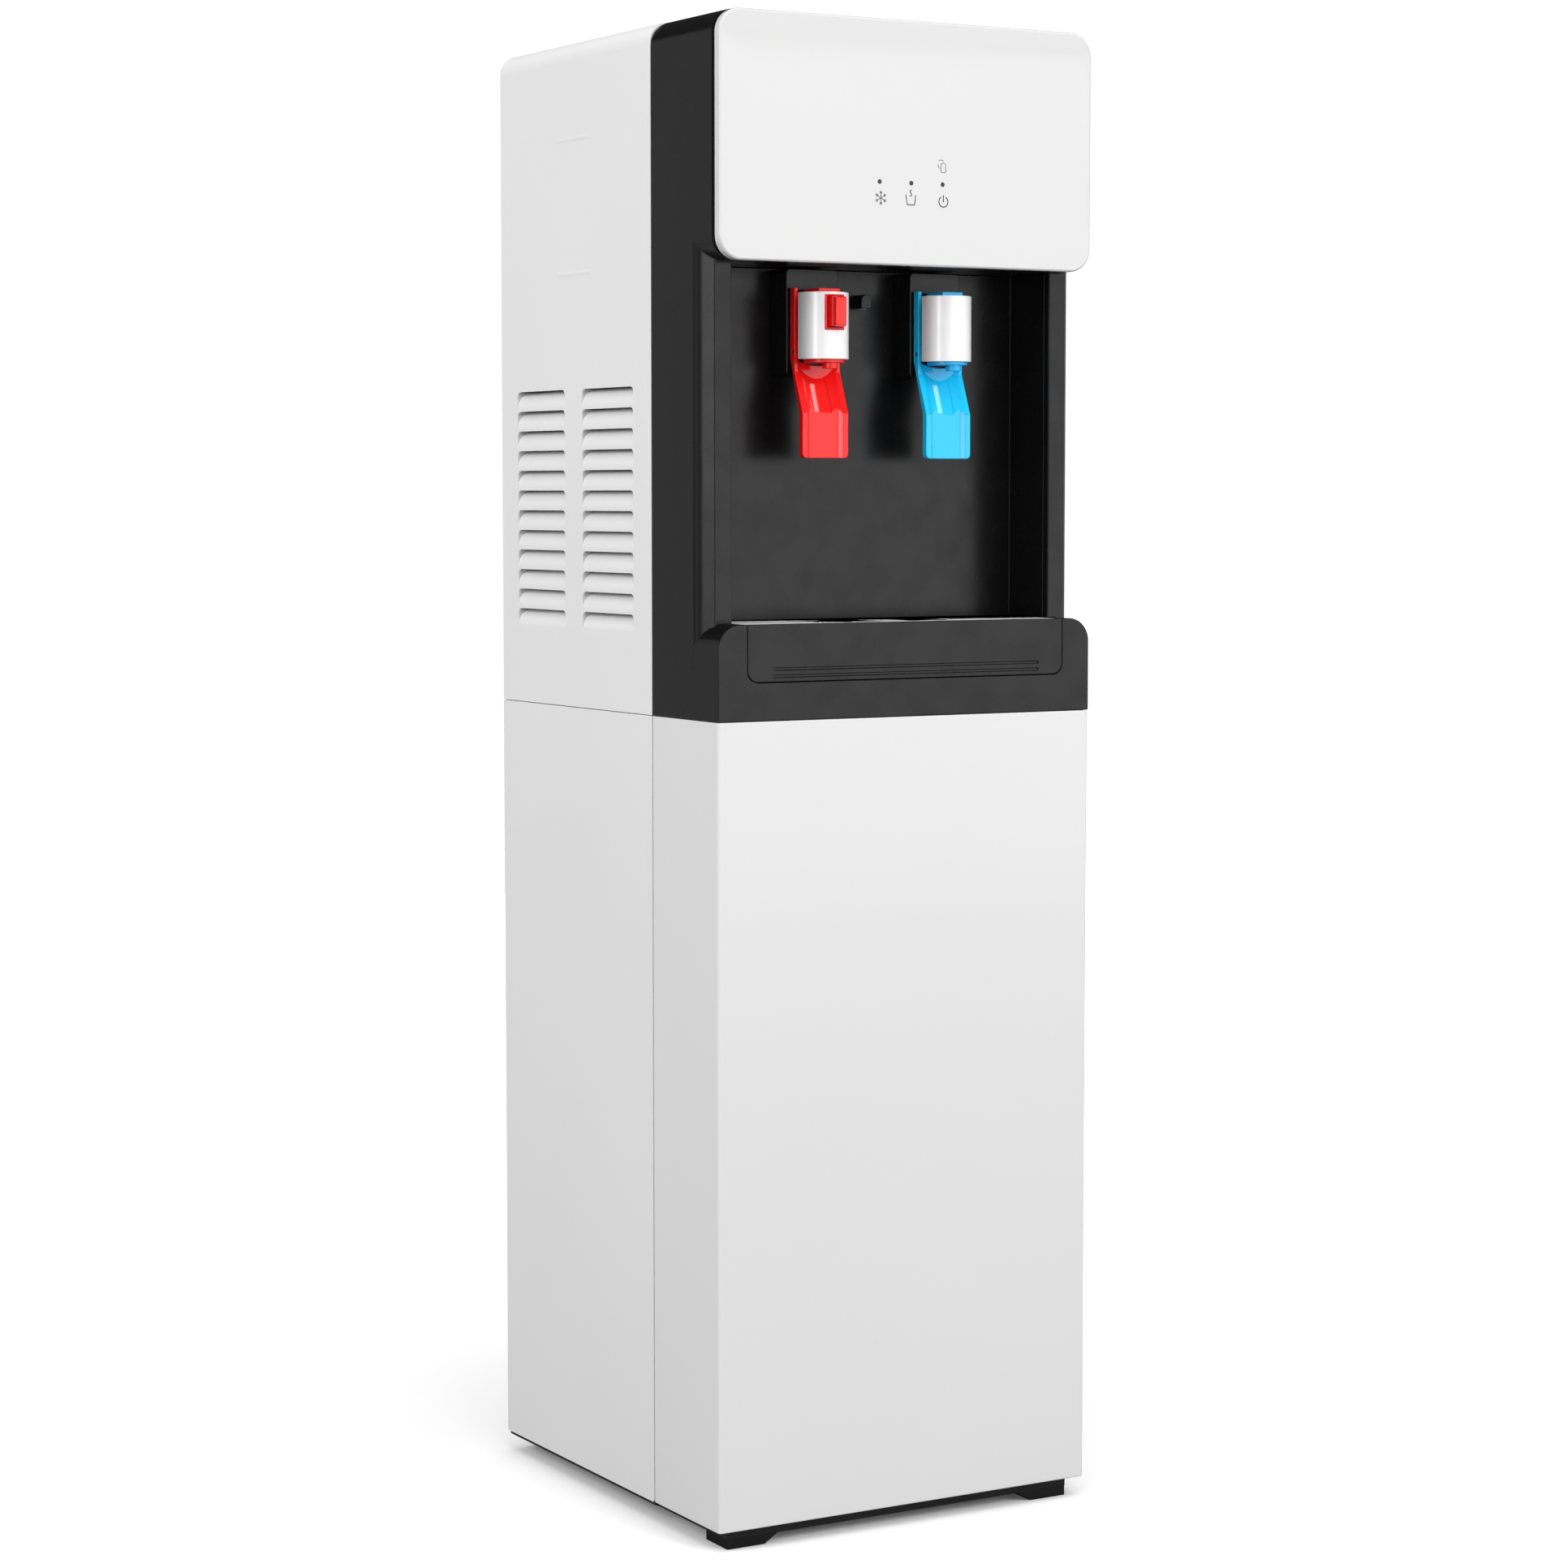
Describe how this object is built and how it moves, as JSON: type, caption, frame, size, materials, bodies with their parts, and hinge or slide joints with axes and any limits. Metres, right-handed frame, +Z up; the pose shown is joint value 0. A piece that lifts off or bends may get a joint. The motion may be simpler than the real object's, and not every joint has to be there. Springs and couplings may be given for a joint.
{
  "type": "water dispenser",
  "caption": "Free-standing hot and cold water dispenser: push-lever taps in a recessed alcove over a drip tray, louvred sides, and a hinged door on a cabinet with filters.",
  "frame": {"origin": "centre of the footprint, on the ground under the feet", "axes": "+Z up; -Y towards the user, out of the front with the taps; +X to the user's right"},
  "size_m": [0.28, 0.308, 0.9706],
  "materials": {
    "white_panel": "satin white enamel",
    "white_gloss": "gloss white",
    "rear_panel": "satin light grey enamel",
    "deck_steel": "zinc plated sheet",
    "black_plastic": "satin black",
    "foot_plastic": "matt black",
    "grille_plastic": "light grey",
    "silver": "satin silver plating",
    "red_body": "gloss red",
    "blue_body": "gloss blue",
    "red_lever": "gloss red",
    "blue_lever": "gloss blue",
    "pin_steel": "bright steel",
    "dark_plastic": "matt black",
    "lens": "frosted clear",
    "board": "green laminate",
    "guide": "smoked clear",
    "tank_steel": "stainless steel",
    "band": "mica and brass heater band",
    "sleeve": "felt insulation",
    "white_plastic": "white",
    "copper": "copper tube",
    "foam": "expanded foam",
    "black_steel": "black enamel",
    "rubber": "matt",
    "hose": "milky tube",
    "filter_head": "white",
    "filter_shell": "white",
    "red_rocker": "gloss red",
    "green_rocker": "gloss green",
    "white_rocker": "gloss white"
  },
  "bodies": {
    "cabinet": {"base_pan": "black_plastic", "feet": "foot_plastic", "lower_left_panel": "white_panel", "lower_right_panel": "white_panel", "lower_rear_panel": "rear_panel", "upper_wrap": "white_panel", "upper_rear_panel": "rear_panel", "mid_deck": "deck_steel", "front_housing": "black_plastic", "face_plate": "white_gloss", "alcove_liner": "black_plastic", "door_hinge_pins": "pin_steel", "door_magnet": "dark_plastic", "escutcheons": "black_plastic", "hot_tap_body": "red_body", "cold_tap_body": "blue_body", "hot_tap_cover": "silver", "cold_tap_cover": "silver", "lever_pivot_pins": "pin_steel", "night_light_hood": "black_plastic", "night_light_lens": "lens", "control_board": "board", "light_guides": "guide", "hot_tank": "tank_steel", "heater_band": "band", "hot_tank_sleeve": "sleeve", "cold_tank": "tank_steel", "cold_tank_lid": "white_plastic", "evaporator_coil": "copper", "cold_insulation_cup": "foam", "cold_insulation_lid": "foam", "compressor": "black_steel", "compressor_grommets": "rubber", "condenser_coil": "black_steel", "condenser_wires": "black_steel", "refrigerant_tubes": "copper", "water_hoses": "hose", "supply_tubes": "hose", "inlet_valve": "white_plastic", "inlet_fitting": "white_plastic", "filter_bracket": "deck_steel", "filter_heads": "filter_head", "switch_bezel": "dark_plastic", "cord_gland": "dark_plastic", "drain_outlet": "white_plastic", "panel_screws": "pin_steel"},
    "door": {"cabinet_door": "white_gloss", "door_strike": "pin_steel"},
    "hot_push_lever": {"hot_lever": "red_lever"},
    "cold_push_lever": {"cold_lever": "blue_lever"},
    "child_lock": {"child_lock_button": "red_lever"},
    "tray": {"drip_tray": "black_plastic"},
    "grille": {"drip_grille": "grille_plastic"},
    "hot_rocker": {"hot_switch": "red_rocker"},
    "cold_rocker": {"cold_switch": "green_rocker"},
    "night_light_rocker": {"night_light_switch": "white_rocker"},
    "sediment_cartridge": {"sediment_filter": "filter_shell"},
    "carbon_cartridge": {"carbon_filter": "filter_shell"},
    "drain_plug": {"drain_cap": "dark_plastic"},
    "float": {"level_float": "white_plastic"}
  },
  "joints": [
    {"name": "door_swing", "type": "hinge", "parent": "cabinet", "child": "door", "pos_m": [0.1366, -0.071, 0.27], "axis": [0, 0, 1], "range_deg": [0, 110]},
    {"name": "hot_lever_press", "type": "hinge", "parent": "cabinet", "child": "hot_push_lever", "pos_m": [-0.04655, -0.1136, 0.762], "axis": [1, 0, 0], "range_deg": [0, 4.5], "stiffness_Nm_per_rad": 3, "springref_deg": -3.44},
    {"name": "cold_lever_press", "type": "hinge", "parent": "cabinet", "child": "cold_push_lever", "pos_m": [0.04655, -0.1136, 0.762], "axis": [1, 0, 0], "range_deg": [0, 4.5], "stiffness_Nm_per_rad": 3, "springref_deg": -3.44},
    {"name": "child_lock_press", "type": "slide", "parent": "cabinet", "child": "child_lock", "axis": [0, 1, 0], "range_m": [0, 0.0025], "stiffness_N_per_m": 500, "springref_m": -0.002},
    {"name": "tray_slide", "type": "slide", "parent": "cabinet", "child": "tray", "axis": [0, -1, 0], "range_m": [0, 0.06]},
    {"name": "grille_lift", "type": "slide", "parent": "tray", "child": "grille", "axis": [0, 0, 1], "range_m": [0, 0.02]},
    {"name": "hot_switch_rock", "type": "hinge", "parent": "cabinet", "child": "hot_rocker", "pos_m": [0.052, 0.1478, 0.9014], "axis": [1, 0, 0], "range_deg": [0, 14]},
    {"name": "cold_switch_rock", "type": "hinge", "parent": "cabinet", "child": "cold_rocker", "pos_m": [0.078, 0.1478, 0.9014], "axis": [1, 0, 0], "range_deg": [0, 14]},
    {"name": "night_light_switch_rock", "type": "hinge", "parent": "cabinet", "child": "night_light_rocker", "pos_m": [0.104, 0.1478, 0.9014], "axis": [1, 0, 0], "range_deg": [0, 14]},
    {"name": "sediment_filter_twist", "type": "hinge", "parent": "cabinet", "child": "sediment_cartridge", "pos_m": [-0.042, -0.062, 0.3], "axis": [0, 0, 1], "range_deg": [0, 90]},
    {"name": "carbon_filter_twist", "type": "hinge", "parent": "cabinet", "child": "carbon_cartridge", "pos_m": [0.042, -0.062, 0.3], "axis": [0, 0, 1], "range_deg": [0, 90]},
    {"name": "drain_cap_turn", "type": "hinge", "parent": "cabinet", "child": "drain_plug", "pos_m": [-0.07, 0.147, 0.5464], "axis": [0, 1, 0], "range_deg": [0, 180]},
    {"name": "float_rise", "type": "slide", "parent": "cabinet", "child": "float", "axis": [0, 0, 1], "range_m": [0, 0.038]}
  ]
}
